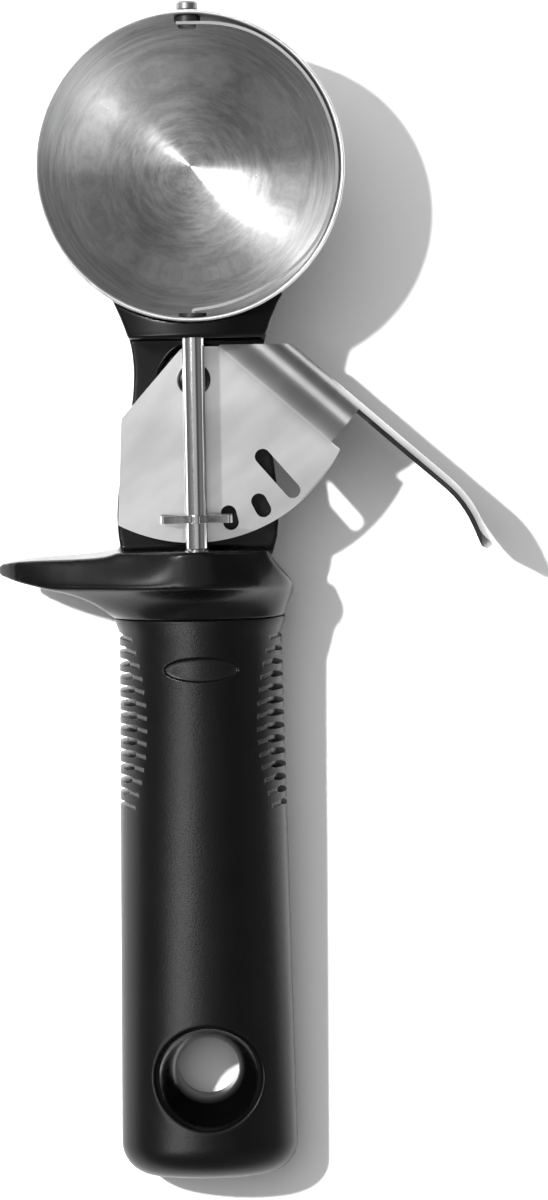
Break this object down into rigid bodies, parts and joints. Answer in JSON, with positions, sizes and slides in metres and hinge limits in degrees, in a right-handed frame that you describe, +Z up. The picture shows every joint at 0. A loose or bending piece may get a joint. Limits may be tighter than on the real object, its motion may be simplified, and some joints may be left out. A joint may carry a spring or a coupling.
{
  "type": "lever ice cream scoop",
  "caption": "Hand scoop with a round steel bowl, a scraper blade swept by a geared side lever, a finger guard and a soft grip with a hang hole.",
  "frame": {"origin": "on the surface it lies on, under the middle of its bounding box", "axes": "+Y from the handle to the tip of the bowl, +Z up out of the open bowl, +X to the thumb lever's side"},
  "size_m": [0.0948, 0.226, 0.0366],
  "materials": {
    "bowl_steel": "spun and brushed stainless steel",
    "blade_steel": "brushed stainless strip",
    "lever_steel": "satin stainless sheet",
    "shaft_steel": "polished rod",
    "pin_steel": "turned steel",
    "spring_steel": "drawn spring wire",
    "bushing_plastic": "dark acetal",
    "body_plastic": "satin gloss black nylon",
    "core_plastic": "gloss black plastic",
    "grip_rubber": "soft matt black elastomer"
  },
  "bodies": {
    "handle": {"bowl": "bowl_steel", "bowl_bracket": "pin_steel", "bracket_screws": "pin_steel", "tip_bushing": "bushing_plastic", "front_bushing": "bushing_plastic", "rear_bushing": "bushing_plastic", "shaft_washer": "pin_steel", "lever_rivet": "pin_steel", "pivot_sleeve": "pin_steel", "lever_washer": "bushing_plastic", "rivet_washer": "pin_steel", "return_spring": "spring_steel", "body": "body_plastic", "handle_core": "core_plastic", "grip": "grip_rubber"},
    "lever": {"thumb_lever": "lever_steel"},
    "sweeper": {"drive_shaft": "shaft_steel", "drive_pinion": "pin_steel", "scraper_blade": "blade_steel", "tip_pin": "pin_steel"}
  },
  "joints": [
    {"name": "lever_press", "type": "hinge", "parent": "handle", "child": "lever", "pos_m": [-0.00923, 0.04235, 0.023], "axis": [0, 0, 1], "range_deg": [-40.8, 0], "stiffness_Nm_per_rad": 0.25, "springref_deg": 22.92, "deforming": ["return_spring"]},
    {"name": "blade_sweep", "type": "hinge", "parent": "handle", "child": "sweeper", "pos_m": [-0.00923, 0.08225, 0.029], "axis": [0, 1, 0], "range_deg": [0, 180]}
  ],
  "couplings": [
    {"joint": "blade_sweep", "follows": "lever_press", "ratio": -4.4117}
  ]
}
